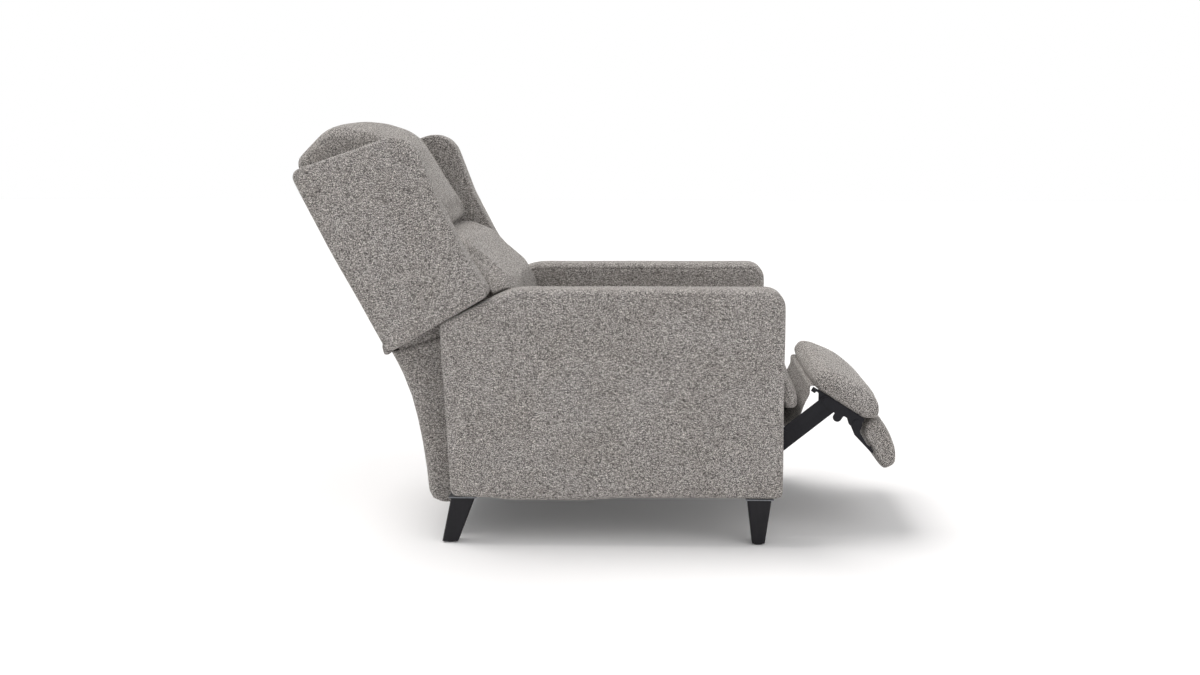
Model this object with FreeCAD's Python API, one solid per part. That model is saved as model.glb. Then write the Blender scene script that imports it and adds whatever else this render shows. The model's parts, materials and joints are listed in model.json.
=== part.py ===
import FreeCAD, Part

import math
import os

# High leg recliner, shown leaned back with its footrest part way up.
# Millimetres. X runs across the chair, Y points behind it, Z is up, and the floor is z = 0.
# The origin is under the middle of the leaned-back chair.
V = FreeCAD.Vector
X_AXIS = V(1, 0, 0)

# Arms and base
overall_width = 740.0
arm_thickness = 96.0
arm_rise = 251.0
arm_bottom = 120.0
arm_front = 448.0
arm_rear = 383.0
arm_front_rake = 6.0
arm_rear_rake = 22.0
arm_slope_start = 205.0
arm_slope_drop = 97.0
arm_top_radius = 44.0
arm_slope_radius = 150.0
arm_rear_top_radius = 18.0
arm_bottom_radius = 18.0
arm_bottom_sag = 7.0
arm_hem_radius = 90.0
arm_edge_radius = 11.0
arm_padding = 22.0
arm_board = 46.0
frame_rail = 58.0
frame_edge_radius = 6.0

# Legs
leg_top = 58.0
leg_front_foot = 31.0
leg_rear_foot = 39.0
leg_rear_splay = 34.0
leg_front_place = 392.0
leg_rear_place = 331.0
leg_side_inset = 12.0
leg_corner_ease = 3.0
glide_radius = 11.0
glide_height = 4.0
leg_plate_height = 3.0
leg_plate_margin = 5.0
leg_bolt_radius = 4.0
leg_bolt_below = 20.0
leg_bolt_above = 44.0

# Stretchers
stretcher_bottom = 126.0
stretcher_height = 46.0
stretcher_thickness = 25.0
front_stretcher_place = 190.0
rear_stretcher_place = 330.0

# Steel linkage plates, stacked side by side from the arm inwards
plate_thickness = 3.0
plate_gap = 1.0
rail_gap = 3.0
link_radius = 13.0
open_clearance = 1.0
pin_radius = 5.0
pin_clearance = 0.05
head_radius = 8.5
head_height = 2.5
bolt_sides = 6
rivet_sides = 12
open_eye_clearance = 4.4
rail_bolt_radius = 4.0
rail_bolt_reach = 24.0

# Base rail, swing links and back pivot
rail_drop = 206.0
rail_height = 36.0
rail_front = 285.0
rail_rear = 335.0
rail_corner = 10.0
back_pivot_place = 120.0
back_pivot_drop = 4.0
back_pivot_boss = 22.0
back_boss_flare = 18.0
swing_length = 90.0
swing_angle = 12.0
swing_foot_rise = 17.0
front_swing_place = 250.0
rear_swing_place = 60.0

# Back, measured along its own height and depth from the lower rear corner of the wing
back_corner_place = 511.0
back_corner_rise = 97.0
back_angle = 27.6
wing_height = 480.0
wing_depth = 297.0
wing_top_fall = 62.0
wing_front_hollow = 13.0
wing_bottom_rise = 4.0
wing_bottom_fall = 10.0
wing_thickness = 76.0
wing_corner_radius = 24.0
wing_front_radius = 62.0
wing_edge_radius = 12.0
wing_board = 18.0
wing_padding = 24.0
back_board_depth = 42.0
back_board_front = 60.0
back_rail_width = 62.0
back_panel_thickness = 9.0
back_gap = 2.0
back_tail_length = 150.0
back_tail_overlap = 40.0
back_tail_thickness = 9.0
back_tail_inset = 19.0
back_skirt = 10.0
back_bracket_width = 34.0
back_bracket_hold = 40.0
side_panel_drop = 27.0
side_panel_fall = 20.0
side_panel_rise = 33.0
side_panel_front = 190.0
drive_arm = 143.0
drive_seat_place = 55.0
drive_seat_drop = 155.3
webbing_width = 50.0
webbing_thickness = 3.0
webbing_count = 5

# Pillows on the back
head_bottom = 200.0
head_top = 545.0
head_front = 264.0
head_rear = 22.0
head_gap = 4.0
head_crown = 10.0
lumbar_bottom = 128.0
lumbar_front = 340.0
lumbar_crown = 10.0
pillow_gap = 4.0
pillow_side_gap = 1.0
pillow_arm_gap = 8.0

# Seat
seat_side_gap = 15.0
seat_front = 490.0
seat_rear = 205.0
seat_lip_drop = 66.0
seat_front_rise = 98.0
seat_rear_rise = 76.0
seat_front_rake = 72.0
seat_lip_thickness = 38.0
seat_frame_top = 384.0
seat_frame_height = 60.0
seat_frame_board = 25.0
seat_frame_rear = 170.0
seat_crown = 9.0
seat_lip_radius = 15.0
seat_nose_radius = 46.0
seat_rear_radius = 34.0
spring_wire = 4.0
spring_count = 5
spring_waves = 9
spring_wave_width = 44.0

# Footrest, measured along its board and below it from the board's rear end
footrest_gap = 33.0
footrest_drop = 3.0
footrest_angle = 32.0
footrest_side_gap = 15.0
footrest_length = 184.0
footrest_padding = 55.0
footrest_crown = 6.0
footrest_board_thickness = 12.0
footrest_board_inset = 24.0
bracket_flange = 26.0
upper_pin_along = 51.0
guide_pin_along = 75.0
link_pin_below = 14.0
link_angle = 39.0
upper_link_length = 170.0
guide_link_length = 177.983
lower_pin_inset = 183.27
lower_pin_drop = 114.4
companion_offset = 40.0
flipper_pin_along = 145.0
flipper_pin_below = 20.0
flipper_angle = 28.0
flipper_start = 17.0
flipper_end = 143.0
flipper_padding = 50.0
flipper_belly = 18.0
flipper_board_thickness = 9.0
flipper_side_gap = 2.0
flipper_crown = 4.0
bump_along = 12.0
lug_along = 98.0
lug_below = 33.0
lug_radius = 11.0

# Cloth between the seat and the footrest, and behind the base
cover_cloth = 3.0
cover_side_gap = 40.0
cover_droop = 20.0
curtain_bottom = 84.0
curtain_wall = 6.0
curtain_side_gap = 6.0
curtain_radius = 34.0

# Smaller sizes and shares that the outlines use
frame_inset = 3.0
plate_margin = 22.0
seat_lip_gap = 2.0
bump_half = 6.0
flipper_low = 3.0
curtain_gap = 2.0
curtain_flare = 8.0
curtain_top_drop = 19.0
curtain_top_angle = 18.0
curtain_taper = 93.0
curtain_waist = 68.0
cover_gap = 1.5
rail_bolt_shares = (0.55, -0.1, -1.05)
arm_hem_shares = ((0.55, 1), (0.12, 1), (-0.15, 0))
rim_shares = ((0, 1), (0.3, 0.3), (1, 0))
boss_round_share = 0.95
link_round_share = 0.98
lug_rise_share = 0.8
seat_crest_share = 0.3
wing_bolt_shares = (0.3, 0.8)
curtain_waist_share = 0.6
lip_swell_share = 0.2
lumbar_narrow_share = 0.5
cover_droop_share = 0.7
footrest_board_share = 0.77
flipper_arm_share = 0.62

# Cushion outlines: place along, place in depth, radius (both by depth) and swell at each corner
crown_shares = ((-1.0, -1.0), (-0.82, 0.35), (-0.4, 0.9), (0.4, 0.9), (0.82, 0.35), (1.0, -1.0))
footrest_pad_shares = ((0, 0, 0.18, 0), (0, 0.8, 0.45, 1), (0.5, 1.08, 2.7, 1), (0.88, 0.92, 0.7, 1),
                       (1, 0.3, 0.25, 1), (0.83, 0, 0.18, 0))
flipper_pad_shares = ((0, 0.07, 0.14, 0), (0.03, 0.95, 0.3, 1), (0.4, 1.02, 3.4, 1), (0.83, 0.92, 0.5, 1),
                      (1, 0.5, 0.35, 1), (0.9, 0.07, 0.22, 0))
head_pillow_shares = ((0, 0.9, 0.09, 0.2), (0.11, 0.97, 0.17, 1), (0.5, 0.94, 0.57, 1), (0.86, 0.8, 0.35, 1),
                      (1, 0.48, 0.3, 1), (0.93, 0.083, 0.17, 1))
lumbar_pillow_shares = ((1, 0.76, 0.13, 0.6), (0.45, 0.97, 0.13, 1), (0.02, 1, 0.3, 1),
                        (-1.14, 0.88, 0.2, 1), (-1.53, 0.7, 0.067, 0.2))

# Places that follow from the sizes above; heights follow the top of the seat frame
half_width = overall_width / 2
arm_height = seat_frame_top + arm_rise
rail_bottom = seat_frame_top - rail_drop
swing_foot_height = rail_bottom + swing_foot_rise
back_pivot_height = seat_frame_top - back_pivot_drop
back_corner_height = seat_frame_top + back_corner_rise
drive_seat_height = seat_frame_top - drive_seat_drop
seat_lip_bottom = seat_frame_top - seat_lip_drop
seat_top_front = seat_frame_top + seat_front_rise
seat_top_rear = seat_frame_top + seat_rear_rise
footrest_place = seat_front + footrest_gap
footrest_height = seat_frame_top - footrest_drop
lower_pin_place = seat_front - lower_pin_inset
lower_pin_height = seat_frame_top - lower_pin_drop
curtain_top_height = back_corner_height - curtain_top_drop
tiny = 1e-4
inner_half = half_width - arm_thickness
plate_pitch = plate_thickness + plate_gap
seat_half = inner_half - seat_side_gap
footrest_half = inner_half - footrest_side_gap
pillow_half = half_width - wing_thickness - head_gap
leg_side = half_width - leg_side_inset - leg_top / 2
overrun = 5.0
swing_eye = pin_radius + pin_clearance


def plane_at(index):
    """Outer face of a linkage plate; plate 0 is the base rail beside the arm."""
    return inner_half - rail_gap - index * plate_pitch


RAIL, SWING, SEAT_PLATE, LOWER, UPPER, BRACKET, GUIDE, FLIPPER = range(8)
seat_frame_half = plane_at(SEAT_PLATE) - plate_thickness
back_frame_half = plane_at(SWING) - plate_thickness
flipper_half = plane_at(FLIPPER) - plate_thickness - flipper_side_gap


def turned(y, z, angle):
    """The point (y, z) turned about the X axis by an angle in degrees."""
    c, s = math.cos(math.radians(angle)), math.sin(math.radians(angle))
    return y * c - z * s, y * s + z * c


def shifted(point, along, angle):
    """The point that lies a distance along a direction, given in degrees from +Y towards +Z."""
    dy, dz = turned(along, 0, angle)
    return point[0] + dy, point[1] + dz


def back_point(up, forward):
    """A point of the back from its distances up the back and forward from its rear face."""
    dy, dz = turned(-forward, up, -back_angle)
    return back_corner_place + dy, back_corner_height + dz


def footrest_point(along, below):
    """A point of the footrest from its distances along its board and below it."""
    dy, dz = turned(-along, -below, footrest_angle)
    return -footrest_place + dy, footrest_height + dz


# Linkage pins
upper_pin = footrest_point(upper_pin_along, link_pin_below)
guide_pin = footrest_point(guide_pin_along, link_pin_below)
link_down = -link_angle
elbow_pin = shifted(upper_pin, upper_link_length, link_down)
guide_eye = shifted(guide_pin, guide_link_length, link_down)
lower_pin = (-lower_pin_place, lower_pin_height)
companion_eye = shifted(elbow_pin, -companion_offset, link_down)
companion_pin = shifted(lower_pin, -companion_offset, link_down)
flipper_pin = footrest_point(flipper_pin_along, flipper_pin_below)
back_pin = (back_pivot_place, back_pivot_height)
drive_pin = (back_pivot_place, back_pivot_height - drive_arm)
drive_seat_pin = (drive_seat_place, drive_seat_height)
front_swing_foot = (-front_swing_place, swing_foot_height)
rear_swing_foot = (rear_swing_place, swing_foot_height)
swing_up = 90 + swing_angle
front_swing_head = shifted(front_swing_foot, swing_length, swing_up)
rear_swing_head = shifted(rear_swing_foot, swing_length, swing_up)


def flipper_point(along, above):
    """A point of the flipper from its distances along it and above the line from its pin."""
    dy, dz = turned(-along, above, footrest_angle + flipper_angle)
    return flipper_pin[0] + dy, flipper_pin[1] + dz


def rounded_wire(corners, x=0.0):
    """Closed wire at x through (y, z, radius) corners, each rounded by a tangent arc."""
    ends = []
    for number, corner in enumerate(corners):
        here = V(x, *corner[:2])
        radius = corner[2]
        before = V(x, *corners[number - 1][:2]) - here
        after = V(x, *corners[(number + 1) % len(corners)][:2]) - here
        before.normalize()
        after.normalize()
        half_angle = before.getAngle(after) / 2
        run = radius / math.tan(half_angle)
        inward = before + after
        if inward.Length > tiny:
            inward.normalize()
        middle = here + inward * (radius / math.sin(half_angle) - radius)
        ends.append((here + before * run, middle, here + after * run, radius))
    edges = []
    for number, (start, middle, end, radius) in enumerate(ends):
        previous_end = ends[number - 1][2]
        if previous_end.distanceToPoint(start) > tiny:
            edges.append(Part.LineSegment(previous_end, start).toShape())
        if radius:
            edges.append(Part.Arc(start, middle, end).toShape())
    return Part.Wire(edges)


def slab(corners, x0, x1):
    """Flat piece with a rounded outline, between x0 and x1."""
    low, high = min(x0, x1), max(x0, x1)
    return Part.Face(rounded_wire(corners, low)).extrude(X_AXIS * (high - low))


def soft_slab(outline, x0, x1, edge_radius):
    """Padded slab, rounded off all the way round; outline gives its corners at an inset."""
    near = [(x0 + edge_radius * across, edge_radius * inset) for across, inset in rim_shares]
    far = [(x1 - edge_radius * across, edge_radius * inset) for across, inset in rim_shares]
    return Part.makeLoft([rounded_wire(outline(inset), x) for x, inset in near + far[::-1]], True, True)


def swollen(corners, grow):
    """Corners (y, z, radius, swell) moved out from their middle by a length."""
    middle_y = sum(corner[0] for corner in corners) / len(corners)
    middle_z = sum(corner[1] for corner in corners) / len(corners)
    moved = []
    for y, z, radius, swell in corners:
        dy, dz = y - middle_y, z - middle_z
        step = grow * swell / math.hypot(dy, dz)
        moved.append((y + dy * step, z + dz * step, radius))
    return moved


def crowned(corners, half, crown):
    """Cushion across the chair: it swells from its drawn-in ends to its middle."""
    wires = [rounded_wire(swollen(corners, crown * swell), half * place)
             for place, swell in crown_shares]
    return Part.makeLoft(wires, True, True)


def spread(shares, start, length, depth, side=1):
    """Corner rows (along, deep, radius, swell) of a cushion from its rows of shares."""
    return [(start + length * along, side * depth * deep, depth * radius, swell)
            for along, deep, radius, swell in shares]


def bar(point, radius, x0, x1):
    """Round bar along X between x0 and x1."""
    low, high = min(x0, x1), max(x0, x1)
    return Part.makeCylinder(radius, high - low, V(low, *point), X_AXIS)


def upright_bar(x, y, radius, z0, z1):
    """Round bar along Z between z0 and z1."""
    return Part.makeCylinder(radius, z1 - z0, V(x, y, z0))


def block(x0, x1, y0, y1, z0, z1):
    """Plain board between two corners."""
    return Part.makeBox(x1 - x0, y1 - y0, z1 - z0, V(x0, y0, z0))


def both_sides(shape):
    """The shape and its mirror image across the chair."""
    return [shape, shape.mirror(V(), X_AXIS)]


def plate(corners, index, holes=()):
    """Steel plate of the left linkage, with holes given as (point, radius)."""
    outer = plane_at(index)
    inner = outer - plate_thickness
    solid = slab(corners, inner, outer)
    for point, radius in holes:
        solid = solid.cut(bar(point, radius, inner - overrun, outer + overrun))
    return solid


def strap(first, second, index, holes):
    """Straight link with round ends between two pins."""
    reach = link_radius
    angle = math.degrees(math.atan2(second[1] - first[1], second[0] - first[0]))
    corners = []
    for point, end, sides in ((first, -reach, (reach, -reach)), (second, reach, (-reach, reach))):
        tip = shifted(point, end, angle)
        corners += [(*shifted(tip, offset, angle + 90), reach) for offset in sides]
    return plate(corners, index, holes)


def head(point, sides, x0, x1):
    """Head of a bolt or rivet along X between x0 and x1."""
    corners = [(*shifted(point, head_radius, 360 * number / sides), 0) for number in range(sides)]
    return slab(corners, x0, x1)


def riveted(solid, *rows):
    """Plate of the left linkage with its own rivets, as (point, first, last, head outside, head inside)."""
    for point, first, last, head_outside, head_inside in rows:
        outer = plane_at(first)
        inner = plane_at(last) - plate_thickness
        solid = solid.fuse(bar(point, pin_radius, inner, outer))
        if head_outside:
            solid = solid.fuse(head(point, rivet_sides, outer, outer + head_height))
        if head_inside:
            solid = solid.fuse(head(point, rivet_sides, inner - head_height, inner))
    return solid.removeSplitter()


def back_corners(places):
    """Corners of the back as world corners, from (up, forward, radius, ...) rows."""
    return [(*back_point(row[0], row[1]), *row[2:]) for row in places]


def footrest_corners(places):
    """Corners of the footrest as world corners, from (along, below, radius, ...) rows."""
    return [(*footrest_point(row[0], row[1]), *row[2:]) for row in places]


def flipper_corners(places):
    """Corners of the flipper as world corners, from (along, above, radius, ...) rows."""
    return [(*flipper_point(row[0], row[1]), *row[2:]) for row in places]


def ribbon(path, thickness, half, radius):
    """Sheet of cloth across the chair that follows a path of (y, z) points."""
    sides = []
    for offset in (thickness / 2, -thickness / 2):
        line = []
        for number, (y, z) in enumerate(path):
            before = path[max(number - 1, 0)]
            after = path[min(number + 1, len(path) - 1)]
            angle = math.degrees(math.atan2(after[1] - before[1], after[0] - before[0]))
            inner = 0 < number < len(path) - 1
            line.append((*shifted((y, z), offset, angle + 90), radius if inner else 0))
        sides.append(line)
    return slab(sides[0] + sides[1][::-1], -half, half)


# Arms: a board frame inside a padded cover
def arm_corners(inset, bottom_inset=None):
    """Side outline of an arm at an inset, or of the frame inside it, whose bottom has its own inset."""
    leg_rear = leg_rear_place - leg_top
    bottom = arm_bottom + (inset if bottom_inset is None else bottom_inset)
    top = arm_height - inset
    front = -arm_front + inset
    rear = arm_rear - inset
    return [
        (front, bottom, arm_bottom_radius),
        (front + arm_front_rake, top, arm_top_radius - inset),
        (arm_slope_start, top, arm_slope_radius),
        (rear, top - arm_slope_drop, arm_rear_top_radius),
        (rear - arm_rear_rake, bottom, arm_bottom_radius),
        (leg_rear, bottom, arm_hem_radius)] + [
        (arm_rear * share, bottom - arm_bottom_sag * drop, arm_hem_radius) for share, drop in arm_hem_shares]


def rail_bolt_points():
    """Where the base rail is bolted to the arm frame."""
    height = rail_bottom + rail_height / 2
    return [(-rail_front * share, height) for share in rail_bolt_shares]


def make_arms():
    """Arm covers, arm frames and the bolts of the base rails, on the left."""
    frame_inner = inner_half + arm_padding
    frame_outer = frame_inner + arm_board
    pocket = slab(arm_corners(arm_padding, frame_inset), frame_inner, frame_outer)
    cover = soft_slab(arm_corners, inner_half, half_width, arm_edge_radius).cut(pocket)
    frame = pocket
    window_bottom = arm_bottom + frame_inset + frame_rail
    window_top = arm_height - arm_padding - frame_rail
    window_rear = arm_rear - arm_rear_rake - arm_padding - frame_rail
    window_front = -arm_front + arm_front_rake + arm_padding + frame_rail
    middle = (window_front + window_rear) / 2
    for low, high, drop in ((window_front, middle - frame_rail / 2, 0),
                            (middle + frame_rail / 2, window_rear, arm_slope_drop)):
        opening = [(low, window_bottom, 0), (low, window_top, 0),
                   (high, window_top - drop, 0), (high, window_bottom, 0)]
        frame = frame.cut(slab(opening, frame_inner - overrun, frame_outer + overrun))
    bolts = []
    for point in rail_bolt_points():
        start = plane_at(RAIL) - plate_thickness - head_height
        bolt = bar(point, rail_bolt_radius, start, frame_inner + rail_bolt_reach)
        cover = cover.cut(bolt)
        frame = frame.cut(bolt)
        bolt = bolt.fuse(head(point, bolt_sides, start, start + head_height))
        bolts.append(bolt.fuse(head(point, bolt_sides, plane_at(RAIL), inner_half)))
    for y in (-leg_front_place, leg_rear_place):
        top = arm_bottom + leg_bolt_above
        hole = upright_bar(leg_side, y, leg_bolt_radius, arm_bottom - overrun, top)
        cover = cover.cut(hole)
        frame = frame.cut(hole)
    for place in (-front_stretcher_place, rear_stretcher_place):
        cover = cover.cut(stretcher(place))
    return cover, frame, bolts


def stretcher(place):
    """Board that joins the two arm frames under the seat."""
    reach = inner_half + arm_padding
    half = stretcher_thickness / 2
    return block(-reach, reach, place - half, place + half,
                 stretcher_bottom, stretcher_bottom + stretcher_height)


# Legs: tapered posts with a steel plate, a bolt and a glide each
def tapered(place, splay, foot, top):
    """Outline of a leg seen square on, from its foot up to its top."""
    return [(place + splay - foot / 2, glide_height), (place + splay + foot / 2, glide_height),
            (place + leg_top / 2, top), (place - leg_top / 2, top)]


def make_leg(place, splay, foot):
    """Leg, plate, bolt and glide of one corner, on the left."""
    top = arm_bottom - leg_plate_height
    half = leg_top / 2
    side = slab([(y, z, 0) for y, z in tapered(place, splay, foot, top)], leg_side - half, leg_side + half)
    outline = [V(x, place - half - splay, z) for x, z in tapered(leg_side, 0, foot, top)]
    face = Part.Face(Part.makePolygon(outline + outline[:1]))
    leg = side.common(face.extrude(V(0, leg_top + 2 * splay, 0)))
    corners = [edge for edge in leg.Edges if edge.BoundBox.ZLength > leg_top]
    bolt = upright_bar(leg_side, place, leg_bolt_radius, top - leg_bolt_below, arm_bottom + leg_bolt_above)
    leg = leg.makeChamfer(leg_corner_ease, corners).cut(bolt)
    half += leg_plate_margin
    pad = block(leg_side - half, leg_side + half, place - half, place + half, top, arm_bottom).cut(bolt)
    glide = upright_bar(leg_side, place + splay, glide_radius, 0, glide_height)
    return leg, pad, bolt, glide


# Base rails, with the post that carries the back
def make_base_rail():
    """Rail plate of the left side with its bolt holes and rivets."""
    top = rail_bottom + rail_height
    y, z = back_pin
    boss = back_pivot_boss
    corners = [
        (-rail_front, rail_bottom, rail_corner), (rail_rear, rail_bottom, rail_corner),
        (rail_rear, top, rail_corner), (y + boss + back_boss_flare, top, back_boss_flare),
        (y + boss, z + boss, boss * boss_round_share), (y - boss, z + boss, boss * boss_round_share),
        (y - boss - back_boss_flare, top, back_boss_flare), (-rail_front, top, rail_corner)]
    rail = plate(corners, RAIL, [(point, rail_bolt_radius) for point in rail_bolt_points()])
    return riveted(rail, *[(pin, RAIL, SWING, True, False)
                           for pin in (front_swing_foot, rear_swing_foot, back_pin)])


# Seat: plates, board frame, springs and cushion
def make_seat_plate():
    """Plate of the left side that carries the seat frame and the footrest links."""
    top = seat_frame_top - plate_margin
    low = lower_pin[1] - plate_margin
    rear = rear_swing_head[0] + 2 * plate_margin
    front = companion_pin[0] - plate_margin
    belly = front_swing_head[1] - plate_margin
    corners = [
        (front, top, rail_corner), (front, companion_pin[1] - plate_margin, rail_corner),
        (lower_pin[0] - plate_margin, low, rail_corner), (lower_pin[0] + plate_margin, low, rail_corner),
        (front_swing_head[0] + plate_margin, belly, rail_corner),
        (rear_swing_head[0] - plate_margin, belly, rail_corner),
        (drive_seat_pin[0] - plate_margin, drive_seat_pin[1] - plate_margin, rail_corner),
        (drive_seat_pin[0] + plate_margin, drive_seat_pin[1] - plate_margin, rail_corner),
        (rear, rear_swing_head[1], rail_corner), (rear, top, rail_corner)]
    return riveted(plate(corners, SEAT_PLATE), (front_swing_head, SWING, SEAT_PLATE, False, True),
                   (rear_swing_head, SWING, SEAT_PLATE, False, True),
                   (lower_pin, SEAT_PLATE, LOWER, True, False),
                   (companion_pin, SEAT_PLATE, BRACKET, True, False),
                   (drive_seat_pin, SEAT_PLATE, LOWER, False, True))


def make_seat_frame():
    """Four boards of the seat frame."""
    bottom = seat_frame_top - seat_frame_height
    front = -seat_front + seat_lip_thickness + seat_lip_gap
    board = seat_frame_board
    half = seat_frame_half
    return [
        block(-half, half, front, front + board, bottom, seat_frame_top),
        block(-half, half, seat_frame_rear - board, seat_frame_rear, bottom, seat_frame_top),
        block(-half, board - half, front + board, seat_frame_rear - board, bottom, seat_frame_top),
        block(half - board, half, front + board, seat_frame_rear - board, bottom, seat_frame_top)]


def make_seat_springs():
    """Zigzag wires from the front board to the rear board of the seat frame."""
    start = -seat_front + seat_lip_thickness + seat_lip_gap + seat_frame_board
    end = seat_frame_rear - seat_frame_board
    height = seat_frame_top - 2 * spring_wire
    step = (end - start) / (2 * spring_waves)
    inner = 2 * (seat_frame_half - seat_frame_board)
    springs = []
    for number in range(spring_count):
        centre = inner * ((number + 1) / (spring_count + 1) - 1 / 2)
        left, right = [], []
        for turn in range(2 * spring_waves + 1):
            swing = spring_wave_width / 2 * (-1) ** turn
            if turn in (0, 2 * spring_waves):
                swing = 0
            y = start + turn * step
            slope = math.hypot(spring_wave_width, step) / step * spring_wire / 2
            left.append(V(centre + swing - slope, y, height))
            right.append(V(centre + swing + slope, y, height))
        outline = left + right[::-1] + left[:1]
        springs.append(Part.Face(Part.makePolygon(outline)).extrude(V(0, 0, spring_wire)))
    return springs


def make_seat_cushion():
    """Crowned cushion whose front wraps down over the frame."""
    frame_front = -seat_front + seat_lip_thickness
    corners = [
        (-seat_front, seat_lip_bottom, seat_lip_radius, lip_swell_share),
        (-seat_front + seat_front_rake, seat_top_front, seat_nose_radius, 1),
        (-seat_front * seat_crest_share, seat_top_front, arm_slope_radius, 1),
        (seat_rear, seat_top_rear, seat_rear_radius, 1),
        (seat_rear, seat_frame_top, rail_corner, 0),
        (frame_front, seat_frame_top, seat_lip_gap, 0),
        (frame_front, seat_lip_bottom, rail_corner, 0)]
    return crowned(corners, seat_half, seat_crown)


# Footrest linkage: two long links a side from the seat, two short ones to the bracket
def make_lower_link():
    """Plate from the seat plate to the elbow, with the eye that guides the second link."""
    along = math.degrees(math.atan2(lower_pin[1] - elbow_pin[1], lower_pin[0] - elbow_pin[0]))
    reach = link_radius
    corners = []
    for point, back, side in ((lower_pin, 1, 1), (elbow_pin, -1, 1), (guide_eye, -1, -1), (lower_pin, 1, -1)):
        end = shifted(point, back * reach, along)
        corners.append((*shifted(end, side * reach, along + 90), reach * link_round_share))
    return riveted(plate(corners, LOWER, [(lower_pin, swing_eye)]),
                   (elbow_pin, LOWER, UPPER, True, False), (guide_eye, LOWER, GUIDE, True, False))


def make_footrest_bracket():
    """Bracket of the left side: an upright plate and a flange under the footrest board."""
    reach = link_radius
    deep = link_pin_below + reach
    lug = flipper_pin_below + reach
    corners = footrest_corners([
        (bump_along - bump_half, 0, 0), (flipper_pin_along + reach, 0, bump_half),
        (flipper_pin_along + reach, lug, reach * link_round_share),
        (flipper_pin_along - reach, lug, reach * link_round_share),
        (flipper_pin_along - 2 * reach, deep * lug_rise_share, bump_half / 2),
        (lug_along + lug_radius, deep * lug_rise_share, bump_half / 2),
        (lug_along + lug_radius, lug_below + lug_radius, lug_radius * link_round_share),
        (lug_along - lug_radius, lug_below + lug_radius, lug_radius * link_round_share),
        (lug_along - lug_radius, deep, bump_half / 2),
        (upper_pin_along - reach, deep, reach * link_round_share),
        (upper_pin_along - 2 * reach, bump_half, bump_half),
        (bump_along + bump_half, bump_half, bump_half / 3),
        (bump_along + bump_half, 2 * bump_half, bump_half / 3),
        (bump_along - bump_half, 2 * bump_half, bump_half / 3)])
    upright = riveted(plate(corners, BRACKET), (upper_pin, UPPER, BRACKET, True, False),
                      (guide_pin, BRACKET, GUIDE, False, False), (flipper_pin, BRACKET, FLIPPER, True, False))
    outer = plane_at(BRACKET)
    flange = slab(footrest_corners([
        (footrest_board_inset, 0, 0), (flipper_pin_along, 0, 0),
        (flipper_pin_along, plate_thickness, 0), (footrest_board_inset, plate_thickness, 0)]),
        outer - bracket_flange, outer - plate_thickness)
    relief = bar(guide_pin, reach + open_clearance, plane_at(FLIPPER), outer - plate_thickness)
    return upright.fuse(flange.cut(relief)).removeSplitter()


def make_footrest_pad():
    """Padded leg rest with its board let into the underside."""
    rows = spread(footrest_pad_shares, 0, footrest_length, footrest_padding, -1)
    return crowned(footrest_corners(rows), footrest_half, footrest_crown)


def footrest_board():
    """Board under the leg rest."""
    end = footrest_length * footrest_board_share
    thick = footrest_board_thickness
    half = plane_at(BRACKET) - plate_thickness
    return slab(footrest_corners([(footrest_board_inset, 0, 0), (end, 0, 0), (end, -thick, 0),
                                  (footrest_board_inset, -thick, 0)]), -half, half)


def make_flipper_pad():
    """Padded foot flap."""
    rows = spread(flipper_pad_shares, flipper_start, flipper_end - flipper_start, flipper_padding)
    return crowned(flipper_corners(rows), flipper_half, flipper_crown)


def flipper_board():
    """Board under the foot flap."""
    start = flipper_start + flipper_board_thickness
    end = flipper_end - flipper_padding / 2
    top = flipper_low + flipper_board_thickness
    return slab(flipper_corners([(start, flipper_low, 0), (start, top, 0), (end, top, 0),
                                 (end, flipper_low, 0)]), -flipper_half + overrun, flipper_half - overrun)


def make_flipper_arm():
    """Arm of the left side from the bracket to the foot flap's board."""
    reach = link_radius
    end = flipper_end * flipper_arm_share
    low = flipper_low
    corners = flipper_corners([
        (-reach, -reach, reach * link_round_share), (-reach, reach, reach * link_round_share),
        (reach, reach, reach * link_round_share), (2 * reach, -low, reach / 2),
        (end - 2 * reach, -low, reach / 2), (end - reach, low, 0), (end, low, 0),
        (end, -low, low), (2 * reach, -flipper_belly, reach)])
    upright = plate(corners, FLIPPER, [(flipper_pin, swing_eye)])
    inner = plane_at(FLIPPER) - plate_thickness
    flange = slab(flipper_corners([(end - reach, low - plate_thickness, 0), (end, low - plate_thickness, 0),
                                   (end, low, 0), (end - reach, low, 0)]), inner - reach, inner)
    return upright.fuse(flange).removeSplitter()


# Back: boards, webbing, wings and pillows
def back_block(up0, up1, forward0, forward1, x0, x1):
    """Board of the back."""
    return slab(back_corners([(up0, forward0, 0), (up1, forward0, 0), (up1, forward1, 0),
                              (up0, forward1, 0)]), x0, x1)


def wing_corners(inset):
    """Side outline of a wing, or of the board inside it."""
    top = wing_height - inset
    front = wing_depth - inset
    corner = max(wing_corner_radius - inset, frame_edge_radius)
    return back_corners([
        (-wing_bottom_fall + inset, inset, corner), (top, inset, corner),
        (top - wing_top_fall, front, max(wing_front_radius - inset, frame_edge_radius)),
        (wing_height / 2, front - wing_front_hollow, arm_slope_radius * 2),
        (wing_bottom_rise + inset, front, corner)])


def make_wing():
    """Padded cover and board of the left wing."""
    outer = half_width
    inner = half_width - wing_thickness
    board_outer = outer - wing_padding
    board = slab(wing_corners(wing_padding), board_outer - wing_board, board_outer)
    cover = soft_slab(wing_corners, inner, outer, wing_edge_radius).cut(board)
    bolts = []
    stile = back_panel_thickness + back_board_depth / 2
    for share in wing_bolt_shares:
        point = back_point(wing_height * share, stile)
        bolts.append(bar(point, rail_bolt_radius, inner - rail_bolt_reach, board_outer))
        cover = cover.cut(bolts[-1])
        board = board.cut(bolts[-1])
    return cover, board, bolts


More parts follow.
